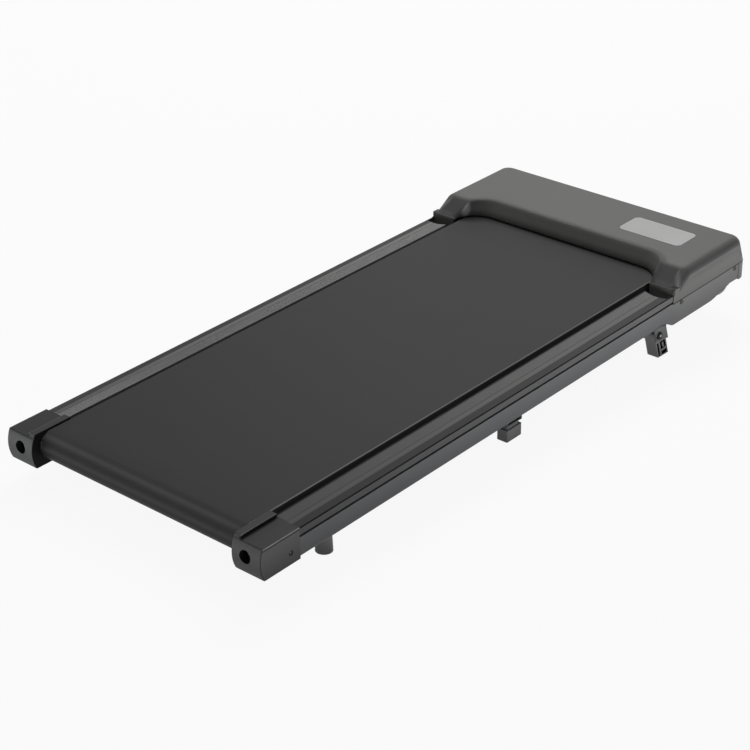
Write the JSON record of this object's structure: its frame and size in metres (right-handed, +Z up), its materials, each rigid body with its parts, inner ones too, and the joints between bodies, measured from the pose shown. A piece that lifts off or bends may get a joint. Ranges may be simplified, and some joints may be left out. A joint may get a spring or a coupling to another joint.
{
  "type": "walking pad treadmill",
  "caption": "Flat under-desk treadmill with a wide belt between ribbed foot rails, a low motor hood with a display window, block feet, flip-down incline feet and small transport wheels.",
  "frame": {"origin": "on the floor, under the middle of the bounding box", "axes": "+X to the right of a walker on the belt, +Y forward to the hood, +Z up from the floor; the chassis is tipped up at the front by the lowered incline feet"},
  "size_m": [0.51, 1.2112, 0.1431],
  "materials": {
    "frame_steel": "satin black powder coat",
    "rail_plastic": "ribbed matt charcoal",
    "cap_plastic": "fine-grained matt black",
    "hood_plastic": "fine-grained matt charcoal",
    "belt_rubber": "woven diamond texture",
    "foot_rubber": "matt black",
    "foot_plastic": "moulded black",
    "bright_steel": "turned",
    "black_steel": "black zinc",
    "deck_wood": "fibreboard with a black phenolic face",
    "cushion_rubber": "soft",
    "drive_rubber": "ribbed",
    "motor_paint": "gloss black",
    "pulley_alloy": "turned",
    "fan_plastic": "moulded",
    "circuit_board": "solder resist",
    "heat_sink_alloy": "extruded",
    "display_lens": "satin grey lens",
    "inlet_plastic": "moulded",
    "rocker_red": "moulded",
    "post_nylon": "nylon"
  },
  "bodies": {
    "chassis": {"belly_pan": "hood_plastic", "controller_board": "circuit_board", "controller_posts": "post_nylon", "cover_screws": "black_steel", "deck_board": "deck_wood", "deck_cushions": "cushion_rubber", "deck_screws": "black_steel", "display_board": "circuit_board", "display_window": "display_lens", "drive_belt": "drive_rubber", "end_cap_screws": "black_steel", "foot_studs": "black_steel", "front_axle": "bright_steel", "front_axle_bolts": "black_steel", "front_cross_member": "frame_steel", "heat_sink": "heat_sink_alloy", "incline_bolts": "black_steel", "incline_nuts": "black_steel", "left_end_cap": "cap_plastic", "left_foot_rail": "rail_plastic", "left_front_bracket": "frame_steel", "left_incline_bracket": "frame_steel", "left_side_frame": "frame_steel", "middle_cross_member": "frame_steel", "middle_feet": "foot_rubber", "middle_foot_blocks": "frame_steel", "motor_body": "motor_paint", "motor_hood": "hood_plastic", "motor_plate": "frame_steel", "motor_saddle": "bright_steel", "motor_straps": "bright_steel", "power_inlet": "inlet_plastic", "rear_axle": "bright_steel", "rear_cross_member": "frame_steel", "rear_feet": "foot_rubber", "right_end_cap": "cap_plastic", "right_foot_rail": "rail_plastic", "right_front_bracket": "frame_steel", "right_incline_bracket": "frame_steel", "right_side_frame": "frame_steel", "rocker_frame": "inlet_plastic", "running_belt": "belt_rubber", "tension_bolts": "black_steel", "wheel_axles": "bright_steel", "wheel_spacers": "bright_steel"},
    "front_roller": {"front_roller": "bright_steel", "front_roller_bearings": "bright_steel", "roller_pulley": "pulley_alloy"},
    "rear_roller": {"rear_roller": "bright_steel", "rear_roller_bearings": "bright_steel"},
    "motor_rotor": {"motor_shaft": "bright_steel", "motor_pulley": "pulley_alloy", "motor_fan": "fan_plastic"},
    "right_incline_foot": {"right_incline_foot": "foot_plastic"},
    "left_incline_foot": {"left_incline_foot": "foot_plastic"},
    "right_transport_wheel": {"right_transport_wheel": "foot_plastic"},
    "left_transport_wheel": {"left_transport_wheel": "foot_plastic"},
    "power_rocker": {"power_rocker": "rocker_red"}
  },
  "joints": [
    {"name": "front_roller_turn", "type": "hinge", "parent": "chassis", "child": "front_roller", "pos_m": [0, 0.45185, 0.08999], "axis": [1, 0, 0], "continuous": true},
    {"name": "rear_roller_turn", "type": "hinge", "parent": "chassis", "child": "rear_roller", "pos_m": [0, -0.56673, 0.06065], "axis": [1, 0, 0], "continuous": true},
    {"name": "motor_turn", "type": "hinge", "parent": "chassis", "child": "motor_rotor", "pos_m": [0, 0.54449, 0.10386], "axis": [1, 0, 0], "continuous": true},
    {"name": "right_incline_foot_swing", "type": "hinge", "parent": "chassis", "child": "right_incline_foot", "pos_m": [0.2383, 0.34313, 0.04394], "axis": [1, 0, 0], "range_deg": [-108, 0]},
    {"name": "left_incline_foot_swing", "type": "hinge", "parent": "chassis", "child": "left_incline_foot", "pos_m": [-0.2383, 0.34313, 0.04394], "axis": [1, 0, 0], "range_deg": [-108, 0]},
    {"name": "right_wheel_turn", "type": "hinge", "parent": "chassis", "child": "right_transport_wheel", "pos_m": [0.237, 0.53932, 0.0751], "axis": [1, 0, 0], "continuous": true},
    {"name": "left_wheel_turn", "type": "hinge", "parent": "chassis", "child": "left_transport_wheel", "pos_m": [-0.237, 0.53932, 0.0751], "axis": [1, 0, 0], "continuous": true},
    {"name": "power_rocker_tip", "type": "hinge", "parent": "chassis", "child": "power_rocker", "pos_m": [0.105, 0.59867, 0.08096], "axis": [1, 0, 0], "range_deg": [0, 18]}
  ],
  "couplings": [
    {"joint": "rear_roller_turn", "follows": "front_roller_turn", "ratio": 1},
    {"joint": "motor_turn", "follows": "front_roller_turn", "ratio": 2.5833}
  ]
}
